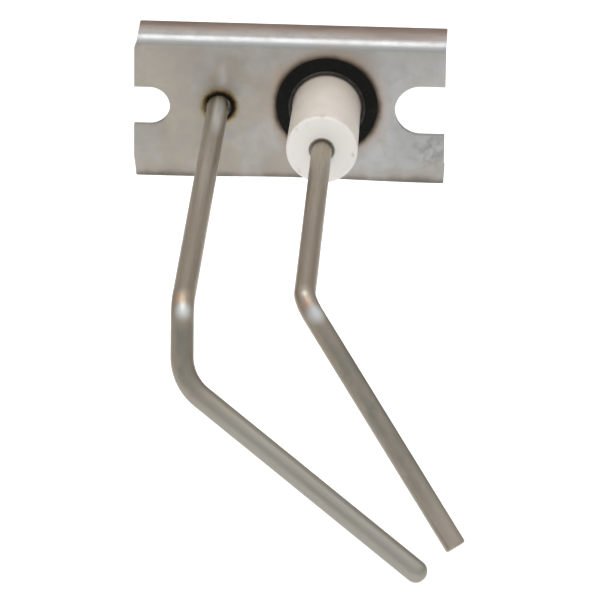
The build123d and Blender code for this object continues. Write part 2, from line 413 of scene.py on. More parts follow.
def sheet_steel():
    """Satin stainless sheet, faintly clouded, heat tinted round both welds, with painted highlights,
    reflection and shade at its folds and on its face.
    """
    s = Shade("sheet_steel")
    x, y, z = s.axes(s.place)
    clouds = s.noise(s.place, 0.11, 5.0, 0.6, 0.8)
    cast = s.noise(s.scaled(s.place, (1, 1, 1), (31, 7, 12)), 0.17, 4.0, 0.55)
    patches = s.noise(s.scaled(s.place, (1, 1, 1), (5, 2, 44)), 0.42, 4.0, 0.6, 0.4)
    grain = s.noise(s.scaled(s.place, (0.35, 1.0, 6.0)), 1.6, 6.0, 0.7)
    colour = plain_sheet(s, x, z, clouds, cast, patches, grain)
    colour, handled = handled_corner(s, colour, y)
    colour = upright_highlight_streak(s, colour, x, z)
    colour = lower_fold_painted_shade(s, colour, z, cast)
    colour = upper_fold_painted_light(s, colour, x, y, z, patches)
    near_ferrule = s.distance(0, 0, 0.7, 0.3)
    colour = ferrule_rings(s, colour, near_ferrule)
    colour = foot_rings(s, colour, foot_distance(s))

    scorch = s.step(near_ferrule, RING_EDGE - 0.1, RING_EDGE + 0.9, 0.30, 0.0)
    sheen = s.plus(s.step(clouds, 0.3, 0.7, 0.38, 0.48), s.step(grain, 0.3, 0.7, -0.04, 0.05))
    sheen = s.plus(sheen, s.step(patches, 0.4, 0.7, -0.03, 0.05))
    roughness = s.plus(s.plus(sheen, scorch), s.times(handled, 0.1))
    metallic = s.step(near_ferrule, RING_EDGE - 0.1, RING_EDGE + 1.0, 0.3, 1.0)
    normal = s.bump(grain, 0.20, 0.02)
    normal = s.bump(clouds, 0.25, 0.12, normal)
    return s.finish(colour, roughness, metallic, normal)


def painted_shade_leg(s, colour, bend, skin, blotches, shade_reach):
    """Painted shade: darken a leg below its bend, most on its upper right side, mottled."""
    facing = s.node("ShaderNodeVectorMath", operation="DOT_PRODUCT")
    s.plug(facing.inputs[0], s.attribute("outside"))
    facing.inputs[1].default_value = SHADED_SIDE
    lean = s.plus(facing.outputs["Value"], s.step(blotches, 0.3, 0.7, -0.3, 0.3))
    start, full, fading, end = shade_reach
    leg = s.math("SUBTRACT", s.near(bend, fading, end), s.near(bend, start, full), clamp=True)
    below = s.step(s.axes(s.place)["Z"], bend.z - 0.8, bend.z - 2.4)
    leg = s.times(s.times(leg, below), s.step(lean, -0.35, 0.30, 0.10, 1.0))
    mottled = s.noise(s.scaled(skin, (0.8, 0.8, 0.22), (3, 9, 2)), 1.0, 4.0, 0.6, 0.6)
    painted_shade = s.ramp(mottled, [(0.36, (0.265, 0.262, 0.222)), (0.62, (0.330, 0.292, 0.248))])
    return s.mix(s.times(leg, s.step(mottled, 0.30, 0.70, 0.98, 0.72)), colour, painted_shade)


def rod_alloy(name, bend, leg_tint, marks, shade_reach):
    """Drawn heat-resistant rod: warm grey-brown with long faint streaks, rubbed where it was bent, with
    painted highlights and painted shade.

    Marks are spots round the bend, real tints and painted highlights. The last argument gives how far from
    the bend the painted shade starts, is full, fades and ends.
    """
    s = Shade(name)
    skin = s.attribute("skin")
    streaks = s.noise(s.scaled(skin, (1.7, 1.7, 0.05)), 1.0, 5.0, 0.65)
    blotches = s.noise(s.scaled(skin, (0.45, 0.45, 0.16)), 1.0, 4.0, 0.6, 0.5)
    fine = s.noise(s.scaled(skin, (6.0, 6.0, 0.35)), 1.0, 4.0, 0.6)
    colour = s.ramp(streaks, [(0.30, (0.390, 0.335, 0.260)), (0.70, (0.545, 0.490, 0.405))])
    colour = s.mix(s.step(blotches, 0.45, 0.70, 0.0, 0.55), colour, ROD_BLOTCH)
    colour = s.mix(s.step(fine, 0.35, 0.75, 0.0, 0.30), colour, ROD_FINE)

    # painted shade: the rods darker further from the plate
    colour = s.mix(s.step(s.axes(s.place)["Y"], -30.0, -66.0, 0.0, 0.55), colour, ROD_FAR_SHADE)
    low = s.times(s.step(s.axes(s.place)["Z"], -5.0, -16.0), s.step(streaks, 0.3, 0.7, 0.35, 0.70))
    colour = s.mix(low, colour, leg_tint)
    colour = painted_shade_leg(s, colour, bend, skin, blotches, shade_reach)
    # spots round the bend: rust and orange tints, and painted highlights on rubbed metal
    for offset, inner, outer, share, tint in marks:
        spot = s.near(bend + Vector(offset), inner, outer)
        colour = s.mix(s.times(spot, share), colour, tint)
    # painted highlight: a pale streak along the top of the earth rod near its foot
    root = s.near(EARTH_FOOT + Vector((0.45, -7.0, 1.6)), 0.2, 1.2, (1, 0.11, 0.6))
    colour = s.mix(s.times(root, 0.95), colour, ROOT_HIGHLIGHT)
    roughness = s.plus(s.step(streaks, 0.3, 0.7, 0.36, 0.48), s.step(fine, 0.3, 0.7, -0.03, 0.05))
    normal = s.bump(fine, 0.22, 0.02)
    normal = s.bump(streaks, 0.25, 0.05, normal)
    return s.finish(colour, roughness, 1.0, normal)


def spark_finish(bend):
    """The spark rod's alloy, rubbed pale in its bend with a painted highlight there, a small painted cream
    highlight and a rust spot.
    """
    # rubbed metal with a painted highlight over it, and a small painted cream highlight
    rubbed_highlight = ((1.74, -2.05, -1.09), 0.1, 1.9, 0.95, (0.73, 0.75, 0.76))
    cream_highlight = ((-0.03, 0.13, 0.98), 0.1, 0.75, 0.60, (0.70, 0.66, 0.56))
    rust = ((0.24, -1.19, 0.02), 0.1, 0.95, 0.60, (0.52, 0.30, 0.22))
    # where the painted shade on the leg starts, is full, fades and ends, in millimetres from the bend
    shade_reach = (3.0, 5.5, 24.0, 37.0)
    return rod_alloy("spark_alloy", bend, SPARK_LEG, (rust, rubbed_highlight, cream_highlight), shade_reach)


def earth_finish(bend):
    """The earth rod's alloy, rubbed pale in its first bend with a painted highlight there, and an orange
    spot.
    """
    # rubbed metal with a painted highlight over it
    rubbed_highlight = ((0.29, -1.70, -0.29), 0.1, 1.8, 0.98, (0.78, 0.79, 0.79))
    orange = ((-0.60, -0.06, 0.90), 0.2, 1.5, 0.50, (0.56, 0.35, 0.22))
    # where the painted shade on the leg starts, is full, fades and ends, in millimetres from the bend
    shade_reach = (2.3, 4.4, 8.0, 18.0)
    return rod_alloy("earth_alloy", bend, EARTH_LEG, (orange, rubbed_highlight), shade_reach)


def fired_ceramic():
    """Cream-white ceramic, faintly clouded, with painted light making its front face lighter and cooler, and
    grey scuffs on its rim.
    """
    s = Shade("fired_ceramic")
    clouds = s.noise(s.place, 0.22, 3.0, 0.5)
    speckle = s.noise(s.place, 5.0, 2.0, 0.5)
    depth = s.axes(s.place)["Y"]
    away = s.distance(0, 0)
    colour = s.ramp(clouds, [(0.3, (0.705, 0.630, 0.550)), (0.7, (0.770, 0.712, 0.645))])
    # painted light: the front face lighter and cooler
    face = s.step(depth, INSULATOR_FRONT + 0.05, INSULATOR_FRONT + 0.6, 1.0, 0.0)
    colour = s.mix(s.times(face, 0.85), colour, CERAMIC_FACE_LIGHT)
    colour = s.mix(s.step(speckle, 0.62, 0.78, 0.0, 0.10), colour, CERAMIC_SPECK)
    warm = s.times(s.step(depth, -7.0, -1.5, 0.0, 0.55), s.step(clouds, 0.35, 0.6, 0.5, 1.0))
    colour = s.mix(warm, colour, CERAMIC_WARM)

    at_front = s.step(depth, INSULATOR_FRONT + 0.5, INSULATOR_FRONT + 1.6, 1.0, 0.0)
    at_rim = s.step(away, 3.7, 4.6)
    marks = s.step(s.noise(s.scaled(s.place, (1, 0.6, 1), (4, 0, 9)), 0.55, 5.0, 0.6), 0.53, 0.68)
    scuffed = s.times(s.times(at_front, at_rim), marks)
    colour = s.mix(s.times(scuffed, 0.50), colour, CERAMIC_SCUFF)
    bore_edge = s.step(away, BORE_RADIUS + 0.02, BORE_RADIUS + 0.30, 0.75, 0.0)
    colour = s.mix(bore_edge, colour, BORE_SHADE)
    roughness = s.plus(s.step(clouds, 0.3, 0.7, 0.30, 0.38), s.times(scuffed, 0.2))
    normal = s.bump(speckle, 0.08, 0.02)
    normal = s.bump(clouds, 0.10, 0.10, normal)
    return s.finish(
        colour, roughness, 0.0, normal,
        Subsurface_Weight=0.12, Subsurface_Scale=0.0015, Coat_Weight=0.15, Coat_Roughness=0.18,
    )


def scorched_steel():
    """Turned ferrule steel, darkened by the weld's heat and cleaner towards the rear."""
    s = Shade("scorched_steel")
    turning = s.noise(s.scaled(s.place, (0.2, 9.0, 0.2)), 1.0, 3.0, 0.5)
    patches = s.noise(s.place, 0.7, 4.0, 0.6)
    depth = s.axes(s.place)["Y"]
    clean = s.step(depth, 1.0, 6.5)
    dark = s.ramp(patches, [(0.3, (0.030, 0.027, 0.025)), (0.7, (0.085, 0.078, 0.070))])
    bright = s.ramp(turning, [(0.3, (0.33, 0.31, 0.285)), (0.7, (0.44, 0.42, 0.39))])
    colour = s.mix(clean, dark, bright)
    roughness = s.math("SUBTRACT", 0.5, s.times(clean, 0.14))
    return s.finish(colour, roughness, 0.85, s.bump(turning, 0.3, 0.02))


def weld_oxide():
    """Black weld oxide, with bare grey metal on the inner slope of the weld at the earth rod's foot."""
    s = Shade("weld_oxide")
    patches = s.noise(s.place, 0.8, 5.0, 0.65)
    crust = s.noise(s.place, 5.5, 6.0, 0.7)
    colour = s.ramp(
        patches,
        [(0.30, (0.004, 0.0045, 0.004)), (0.55, (0.006, 0.006, 0.005)), (0.80, (0.014, 0.012, 0.009))],
    )
    plain = s.mix(s.step(patches, 0.4, 0.6), (0.50, 0.455, 0.39), (0.44, 0.41, 0.36))
    away = foot_distance(s)
    ringed = foot_rings(s, plain, away)
    slope = s.step(away, EARTH_RADIUS - 0.1, EARTH_RADIUS + 0.35)
    bare = s.mix(slope, (0.44, 0.41, 0.37), (0.22, 0.175, 0.13))
    side = s.distance(EARTH_FOOT.x + 2.05, EARTH_FOOT.z - 0.5, 0.3, 1.2)
    bare = s.mix(s.step(side, 0.4, 1.3, 0.92, 0.0), bare, (0.032, 0.036, 0.046))
    worn = s.step(away, EARTH_RADIUS - 0.02, EARTH_RADIUS + 0.26, 1.0, 0.0)
    near_foot = s.step(s.distance(EARTH_FOOT.x, EARTH_FOOT.z), 4.0, 4.2, 1.0, 0.0)
    colour = s.mix(near_foot, colour, s.mix(worn, ringed, bare))
    roughness = s.step(crust, 0.3, 0.7, 0.46, 0.66)
    normal = s.bump(crust, 0.35, 0.05)
    normal = s.bump(patches, 0.3, 0.12, normal)
    return s.finish(colour, roughness, near_foot, normal, Specular_IOR_Level=0.12)


def refractory_cement():
    """Matt grey-brown cement with fine grit."""
    s = Shade("refractory_cement")
    grit = s.noise(s.place, 4.0, 6.0, 0.7)
    colour = s.ramp(grit, [(0.3, (0.17, 0.155, 0.13)), (0.7, (0.36, 0.335, 0.29))])
    return s.finish(colour, 0.9, 0.0, s.bump(grit, 0.6, 0.08))


def plated_terminal():
    """Nickel-plated turned steel with fine rings from the lathe."""
    s = Shade("plated_terminal")
    rings = s.noise(s.scaled(s.place, (0.15, 12.0, 0.15)), 1.0, 3.0, 0.5)
    wear = s.noise(s.place, 0.9, 4.0, 0.6)
    colour = s.ramp(wear, [(0.3, (0.50, 0.475, 0.43)), (0.7, (0.62, 0.60, 0.56))])
    roughness = s.step(rings, 0.3, 0.7, 0.22, 0.34)
    return s.finish(colour, roughness, 1.0, s.bump(rings, 0.25, 0.02))


def floor_paper():
    """Plain pale studio paper."""
    s = Shade("floor_paper")
    fibre = s.noise(s.place, 0.05, 3.0, 0.5)
    colour = s.ramp(fibre, [(0.3, (0.90, 0.90, 0.895)), (0.7, (0.93, 0.93, 0.925))])
    return s.finish(colour, 0.9, 0.0)


# Meshes


def object_from(mesh, name):
    made = bpy.data.objects.new(name, mesh)
    bpy.context.scene.collection.objects.link(made)
    return made


def smooth(mesh, angle=35.0):
    """Shade a mesh smooth, with its sharper edges kept."""
    mesh.shade_smooth()
    mesh.set_sharp_from_angle(angle=radians(angle))


def outward(mesh):
    """Turn all faces of a closed mesh outwards."""
    bm = bmesh.new()
    bm.from_mesh(mesh)
    bmesh.ops.recalc_face_normals(bm, faces=bm.faces)
    bm.to_mesh(mesh)
    bm.free()


def place_piece(piece, material, slot, *nodes):
    """Give a finished piece its material, its body and the CAD nodes it stands for; the slot is not used."""
    if material is not None:
        piece.data.materials.clear()
        piece.data.materials.append(material)
    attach(piece, BODY)
    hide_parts(*nodes)


def rounded(corners, arc_steps=5):
    """Points of an outline of (radius, y, rounding) corners, with each rounding as an arc."""
    points = []
    count = len(corners)
    for i, (r, y, rounding) in enumerate(corners):
        here = Vector((r, y))
        if not rounding:
            points.append(here)
            continue
        back = (Vector(corners[i - 1][:2]) - here).normalized()
        ahead = (Vector(corners[(i + 1) % count][:2]) - here).normalized()
        half = back.angle(ahead) / 2
        tangent = rounding / tan(half)
        centre = here + (back + ahead).normalized() * (rounding / sin(half))
        first = here + back * tangent - centre
        turn = first.angle_signed(here + ahead * tangent - centre)
        for k in range(arc_steps + 1):
            share = -turn * k / arc_steps
            spun = Vector((
                first.x * cos(share) - first.y * sin(share),
                first.x * sin(share) + first.y * cos(share),
            ))
            points.append(centre + spun)
    return points


def lathe(name, corners, segments=144, arc_steps=5):
    """Turn a closed outline about the insulator's axis."""
    outline = rounded(corners, arc_steps)
    mesh = bpy.data.meshes.new(name)
    bm = bmesh.new()
    rings = []
    for point in outline:
        ring = []
        for k in range(segments):
            angle = 2 * pi * k / segments
            place = Vector((point.x * cos(angle), point.y, point.x * sin(angle)))
            ring.append(bm.verts.new(place * MM))
        rings.append(ring)
    for i, ring in enumerate(rings):
        after = rings[(i + 1) % len(rings)]
        for k in range(segments):
            m = (k + 1) % segments
            bm.faces.new((ring[k], ring[m], after[m], after[k]))
    bmesh.ops.remove_doubles(bm, verts=bm.verts, dist=1e-4 * MM)
    bmesh.ops.dissolve_degenerate(bm, edges=bm.edges, dist=1e-5 * MM)
    bmesh.ops.recalc_face_normals(bm, faces=bm.faces)
    bm.to_mesh(mesh)
    bm.free()
    smooth(mesh)
    return object_from(mesh, name)


# Geometry Nodes


def new_tree(name, inputs):
    """A geometry tree with named inputs, and helpers to add and join its nodes."""
    tree = bpy.data.node_groups.new(name, "GeometryNodeTree")
    tree.interface.new_socket("Geometry", in_out="OUTPUT", socket_type="NodeSocketGeometry")
    for label, kind in inputs:
        tree.interface.new_socket(label, in_out="INPUT", socket_type=kind)
    given = tree.nodes.new("NodeGroupInput").outputs
    result = tree.nodes.new("NodeGroupOutput").inputs["Geometry"]

    def add(kind, plugs=None, **settings):
        made = tree.nodes.new(kind)
        for key, value in settings.items():
            setattr(made, key, value)
        for socket, value in (plugs or {}).items():
            target = made.inputs[socket]
            if isinstance(value, bpy.types.NodeSocket):
                tree.links.new(value, target)
            else:
                target.default_value = value
        return made

    return tree, given, result, add


def grow(tree, name, start, values):
    """Run a geometry tree on an object and keep the result as a plain mesh."""
    holder = bpy.data.objects.new(name + "_source", start)
    bpy.context.scene.collection.objects.link(holder)
    modifier = holder.modifiers.new("grow", "NODES")
    modifier.node_group = tree
    for item in tree.interface.items_tree:
        if item.in_out == "INPUT" and item.name in values:
            modifier[item.identifier] = values[item.name]
    graph = bpy.context.evaluated_depsgraph_get()
    graph.update()
    mesh = bpy.data.meshes.new_from_object(holder.evaluated_get(graph), depsgraph=graph)
    mesh.name = name
    bpy.data.objects.remove(holder)
    return mesh


def rod_tree():
    """A round rod along a path, with its own skin coordinates: round the section and along the rod."""
    tree, given, result, add = new_tree(
        "bent_rod",
        [("Path", "NodeSocketGeometry"), ("Sides", "NodeSocketInt"), ("Dents", "NodeSocketFloat"),
         ("Finish", "NodeSocketMaterial")],
    )
    along = add("GeometryNodeSplineParameter")
    path = add("GeometryNodeCaptureAttribute", {"Geometry": given["Path"]})
    path.capture_items.new("FLOAT", "Length")
    tree.links.new(along.outputs["Length"], path.inputs["Length"])
    section = add("GeometryNodeCurvePrimitiveCircle", {"Resolution": given["Sides"], "Radius": 1.0})
    turn = add("GeometryNodeCaptureAttribute", {"Geometry": section.outputs["Curve"]})
    turn.capture_items.new("VECTOR", "Round")
    spot = add("GeometryNodeInputPosition")
    tree.links.new(spot.outputs["Position"], turn.inputs["Round"])
    radius = add("GeometryNodeInputRadius")
    tube = add(
        "GeometryNodeCurveToMesh",
        {"Curve": path.outputs["Geometry"], "Profile Curve": turn.outputs["Geometry"],
         "Scale": radius.outputs["Radius"], "Fill Caps": True},
    )
    round_part = add("ShaderNodeSeparateXYZ", {"Vector": turn.outputs["Round"]})
    length_mm = add("ShaderNodeMath", {0: path.outputs["Length"], 1: 1 / MM}, operation="MULTIPLY")
    skin = add(
        "ShaderNodeCombineXYZ",
        {"X": round_part.outputs["X"], "Y": round_part.outputs["Y"], "Z": length_mm.outputs[0]},
    )
    marked = add(
        "GeometryNodeStoreNamedAttribute",
        {"Geometry": tube.outputs["Mesh"], "Name": "skin", "Value": skin.outputs["Vector"]},
        data_type="FLOAT_VECTOR", domain="POINT",
    )
    waver = add("ShaderNodeTexNoise", {"Vector": skin.outputs["Vector"], "Scale": 0.22, "Detail": 2.0})
    centred = add("ShaderNodeMath", {0: waver.outputs["Fac"], 1: -1.0}, operation="ADD")
    depth = add("ShaderNodeMath", {0: centred.outputs[0], 1: given["Dents"]}, operation="MULTIPLY")
    normal = add("GeometryNodeInputNormal")
    push = add("ShaderNodeVectorMath", {0: normal.outputs["Normal"]}, operation="SCALE")
    tree.links.new(depth.outputs[0], push.inputs["Scale"])
    moved = add(
        "GeometryNodeSetPosition", {"Geometry": marked.outputs["Geometry"], "Offset": push.outputs["Vector"]}
    )
    faced = add(
        "GeometryNodeStoreNamedAttribute",
        {"Geometry": moved.outputs["Geometry"], "Name": "outside", "Value": normal.outputs["Normal"]},
        data_type="FLOAT_VECTOR", domain="POINT",
    )
    real = add("GeometryNodeRealizeInstances", {"Geometry": faced.outputs["Geometry"]})
    done = add(
        "GeometryNodeSetMaterial", {"Geometry": real.outputs["Geometry"], "Material": given["Finish"]}
    )
    tree.links.new(done.outputs["Geometry"], result)
    return tree


def weld_tree():
    """A weld run round a joint: its bead is rippled, crusted and uneven at its toe."""
    tree, given, result, add = new_tree(
        "weld_run",
        [("Base", "NodeSocketGeometry"), ("Centre", "NodeSocketVector"),
         ("Inner Radius", "NodeSocketFloat"), ("Outer Radius", "NodeSocketFloat"),
         ("Ripples", "NodeSocketInt"), ("Ripple Height", "NodeSocketFloat"), ("Crust", "NodeSocketFloat"),
         ("Edge Waver", "NodeSocketFloat"), ("Seed", "NodeSocketFloat"), ("Finish", "NodeSocketMaterial")],
    )

    def math(operation, first, second=0.0):
        return add("ShaderNodeMath", {0: first, 1: second}, operation=operation).outputs[0]

    def vector_math(operation, first, second=(0, 0, 0)):
        return add("ShaderNodeVectorMath", {0: first, 1: second}, operation=operation)

    def noise(vector, scale, detail):
        plugs = {"Vector": vector, "W": given["Seed"], "Scale": scale, "Detail": detail}
        return add("ShaderNodeTexNoise", plugs, noise_dimensions="4D").outputs["Fac"]

    spot = add("GeometryNodeInputPosition").outputs["Position"]
    local = vector_math("SUBTRACT", spot, given["Centre"]).outputs["Vector"]
    parts = add("ShaderNodeSeparateXYZ", {"Vector": local}).outputs
    flat = vector_math("MULTIPLY", local, (1, 0, 1)).outputs["Vector"]
    radius = vector_math("LENGTH", flat).outputs["Value"]
    radial = vector_math("NORMALIZE", flat).outputs["Vector"]
    raised = math("LESS_THAN", parts["Y"], -0.01 * MM)

    turns = math("MULTIPLY", math("ARCTAN2", parts["Z"], parts["X"]), given["Ripples"])
    drift = noise(spot, 350.0, 1.0)
    wave = math("SINE", math("ADD", turns, math("MULTIPLY", drift, 5.0)))
    ripple = math("MULTIPLY", math("SUBTRACT", 1.0, wave), given["Ripple Height"])
    crust = noise(spot, 1300.0, 3.0)
    gnarl = math("MULTIPLY", math("SUBTRACT", 1.0, crust), given["Crust"])
    sink = math("MULTIPLY", math("ADD", ripple, gnarl), raised)

    wander = noise(radial, 2.4, 3.0)
    across = add("ShaderNodeMapRange", {
        "Value": radius, "From Min": given["Inner Radius"], "From Max": given["Outer Radius"],
    }).outputs["Result"]
    pull = math("MULTIPLY", math("MULTIPLY", math("MULTIPLY", wander, across), given["Edge Waver"]), raised)
    inward = vector_math("SCALE", radial)
    tree.links.new(math("MULTIPLY", pull, -1.0), inward.inputs["Scale"])
    lowered = add("ShaderNodeCombineXYZ", {"Y": math("MINIMUM", sink, math("MULTIPLY", parts["Y"], -0.8))})
    offset = vector_math("ADD", inward.outputs["Vector"], lowered.outputs["Vector"]).outputs["Vector"]
    moved = add("GeometryNodeSetPosition", {"Geometry": given["Base"], "Offset": offset})
    real = add("GeometryNodeRealizeInstances", {"Geometry": moved.outputs["Geometry"]})
    done = add(
        "GeometryNodeSetMaterial", {"Geometry": real.outputs["Geometry"], "Material": given["Finish"]}
    )
    tree.links.new(done.outputs["Geometry"], result)
    return tree


# Pieces


def leg_step(length, turn):
    """The step along a bent leg that turns by an angle from straight down in the sloped plane."""
    down = length * cos(radians(turn))
    return Vector((
        length * sin(radians(turn)),
        -down * sin(radians(LEG_SLOPE)),
        -down * cos(radians(LEG_SLOPE)),
    ))


def bent_path(corners, bend_radii, run_step=1.0, arc_angle=3.0):
    """Points along straight runs joined by tangent arcs, with a radius for each inner corner."""
    stops = [corners[0]]
    for before, corner, after, bend_radius in zip(corners, corners[1:], corners[2:], bend_radii):
        back = (before - corner).normalized()
        ahead = (after - corner).normalized()
        turn = pi - back.angle(ahead)
        tangent = bend_radius * tan(turn / 2)
        centre = corner + (back + ahead).normalized() * (bend_radius / cos(turn / 2))
        start = corner + back * tangent
        axis = back.cross(ahead).normalized()
        steps = max(2, round(turn / radians(arc_angle)))
        stops.append(start)
        spoke = start - centre
        for k in range(1, steps + 1):
            swung = spoke.copy()
            swung.rotate(Quaternion(axis, -turn * k / steps))
            stops.append(centre + swung)
    stops.append(corners[-1])
    points = [stops[0]]
    for here, there in zip(stops, stops[1:]):
        count = max(1, round((there - here).length / run_step))
        points += [here.lerp(there, k / count) for k in range(1, count + 1)]
    return points


def rod_curve(name, points, radii):
    """A curve through points in millimetres, with the rod's radius at each of them."""
    curve = bpy.data.curves.new(name, "CURVE")
    curve.dimensions = "3D"
    spline = curve.splines.new("POLY")
    spline.points.add(len(points) - 1)
    for stop, point, radius in zip(spline.points, points, radii):
        stop.co = (*(point * MM), 1)
        stop.radius = radius * MM
    return curve


def with_ends(points, radius, start_rounding, end_rounding, steps=8):
    """Replace a rod's two ends by finely spaced points with shrinking radii, so that they are rounded."""
    path = [point.copy() for point in points]
    radii = [radius] * len(path)
    for rounding in (end_rounding, start_rounding):
        path.reverse()
        radii.reverse()
        tip = path[0]
        inward = (path[1] - tip).normalized()
        while (path[1] - tip).length < rounding * END_SPACE:
            del path[1], radii[1]
        rounded_points = []
        rounded_radii = []
        for k in range(steps + 1):
            angle = (pi / 2) * k / steps
            rounded_points.append(tip + inward * rounding * (1 - cos(angle)))
            rounded_radii.append(max(radius - rounding * (1 - sin(angle)), THINNEST_TIP))
        path = rounded_points + path[1:]
        radii = rounded_radii + radii[1:]
    return path, radii


def make_rod(tree, name, corners, bend_radii, radius, start_rounding, end_rounding, finish):
    """A bent rod that replaces its CAD node."""
    points = bent_path(corners, bend_radii)
    points[-1] -= (points[-1] - points[-2]).normalized() * ROD_TRIM
    path, radii = with_ends(points, radius - ROD_TRIM, start_rounding, end_rounding)
    mesh = grow(
        tree, name, rod_curve(name + "_path", path, radii),
        {"Sides": ROD_SIDES, "Dents": ROD_DENTS * MM, "Finish": finish},
    )
    outward(mesh)
    smooth(mesh, 50.0)
    place_piece(object_from(mesh, name + "_bar"), None, "rod_alloy", name)


def make_rods():
    tree = rod_tree()
    spark_bend = Vector((0, -SPARK_BEND_REACH, 0))
    spark_tip = spark_bend + leg_step(SPARK_LEG_LENGTH, SPARK_LEG_TURN)
    spark_tail = Vector((0, TERMINAL_REAR - TERMINAL_WALL_END, 0))
    make_rod(
        tree, "spark_rod", [spark_tail, spark_bend, spark_tip], [FIRST_BEND_RADIUS], SPARK_RADIUS,
        SMALL_ROUNDING, SPARK_TIP_ROUNDING, spark_finish(spark_bend),
    )
    earth_bend = EARTH_FOOT + Vector((-EARTH_ROD_SPLAY, -EARTH_BEND_REACH, 0))
    earth_corner = earth_bend + leg_step(EARTH_DROP_LENGTH, EARTH_DROP_TURN)
    earth_tip = earth_corner + leg_step(EARTH_LEG_LENGTH, EARTH_LEG_TURN)
    earth_run = (earth_bend - EARTH_FOOT).normalized()
    earth_tail = EARTH_FOOT - earth_run * (SHEET + EARTH_ROD_TAIL)
    make_rod(
        tree, "earth_rod", [earth_tail, earth_bend, earth_corner, earth_tip],
        [FIRST_BEND_RADIUS, SECOND_BEND_RADIUS], EARTH_RADIUS,
        ROD_END_ROUNDING, EARTH_RADIUS - 0.1, earth_finish(earth_bend),
    )


def make_insulator():
    front_radius = ROOT_RADIUS + INSULATOR_FLARE
    groove_radius = ROOT_RADIUS - GROOVE_DEPTH
    groove_front = FERRULE_REAR_LENGTH - GROOVE_LENGTH
    body = lathe("insulator_body", [
        (BORE_RADIUS, INSULATOR_FRONT, RIM_ROUNDING),
        (front_radius, INSULATOR_FRONT, INSULATOR_RIM_RADIUS),
        (ROOT_RADIUS, -FERRULE_LIP, 0),
        (ROOT_RADIUS, groove_front, SMALL_ROUNDING),
        (groove_radius, groove_front, SMALL_ROUNDING),
        (groove_radius, FERRULE_REAR_LENGTH, SMALL_ROUNDING),
        (ROOT_RADIUS, FERRULE_REAR_LENGTH, SMALL_ROUNDING),
        (ROOT_RADIUS, INSULATOR_REAR, INSULATOR_RIM_RADIUS),
        (BORE_RADIUS, INSULATOR_REAR, 0),
    ], segments=INSULATOR_SIDES, arc_steps=7)
    place_piece(body, fired_ceramic(), "insulator_ceramic", "insulator")


def make_ferrule():
    shoulder_radius = FERRULE_RADIUS + FERRULE_SHOULDER_WIDTH
    shoulder_rear = SHEET + FERRULE_SHOULDER_THICKNESS
    rear = FERRULE_REAR_LENGTH - ROLLED_RIM_CLEARANCE
    rim_bore_radius = ROOT_RADIUS - GROOVE_DEPTH + ROLLED_RIM_CLEARANCE
    sleeve = lathe("ferrule_sleeve", [
        (FERRULE_BORE_RADIUS, -FERRULE_LIP, RIM_ROUNDING),
        (FERRULE_RADIUS, -FERRULE_LIP, RIM_ROUNDING),
        (FERRULE_RADIUS, SHEET, 0),
        (shoulder_radius, SHEET, SMALL_ROUNDING),
        (shoulder_radius, shoulder_rear, RIM_ROUNDING),
        (FERRULE_RADIUS, shoulder_rear, RIM_ROUNDING),
        (FERRULE_RADIUS, rear, 2 * RIM_ROUNDING),
        (rim_bore_radius, rear, SMALL_ROUNDING),
        (rim_bore_radius, rear - ROLLED_RIM_LENGTH, 0),
        (FERRULE_BORE_RADIUS, rear - ROLLED_RIM_LENGTH, 0),
    ], segments=INSULATOR_SIDES)
    place_piece(sleeve, scorched_steel(), "ferrule_steel", "ferrule")


def make_cements():
    finish = refractory_cement()
    fill_front = CEMENT_RECESS - FERRULE_LIP
    ring = lathe("ferrule_cement_ring", [
        (ROOT_RADIUS, fill_front, 0),
        (FERRULE_BORE_RADIUS, fill_front, 0),
        (FERRULE_BORE_RADIUS, FERRULE_REAR_LENGTH - GROOVE_LENGTH, 0),
        (ROOT_RADIUS, FERRULE_REAR_LENGTH - GROOVE_LENGTH, 0),
    ])
    place_piece(ring, finish, "cement", "ferrule_cement")
    core = lathe("bore_cement_core", [
        (SPARK_RADIUS, INSULATOR_FRONT + BORE_CEMENT_RECESS, 0),
        (BORE_RADIUS, INSULATOR_FRONT + BORE_CEMENT_RECESS, 0),
        (BORE_RADIUS, INSULATOR_REAR, 0),
        (SPARK_RADIUS, INSULATOR_REAR, 0),
    ])
    place_piece(core, finish, "cement", "bore_cement")


def make_terminal():
    collar_rear = INSULATOR_REAR + TERMINAL_COLLAR_THICKNESS
    rod_rear = TERMINAL_REAR - TERMINAL_WALL_END
    pin = lathe("terminal_plug", [
        (SPARK_RADIUS, INSULATOR_REAR, 0),
        (COLLAR_RADIUS, INSULATOR_REAR, SMALL_ROUNDING),
        (COLLAR_RADIUS, collar_rear, SMALL_ROUNDING),
        (TERMINAL_RADIUS, collar_rear, SMALL_ROUNDING),
        (TERMINAL_RADIUS, TERMINAL_REAR, TERMINAL_END_RADIUS),
        (0, TERMINAL_REAR, 0),
        (0, rod_rear, 0),
        (SPARK_RADIUS, rod_rear, 0),
    ])
    place_piece(pin, plated_terminal(), "terminal_nickel", "terminal_pin")


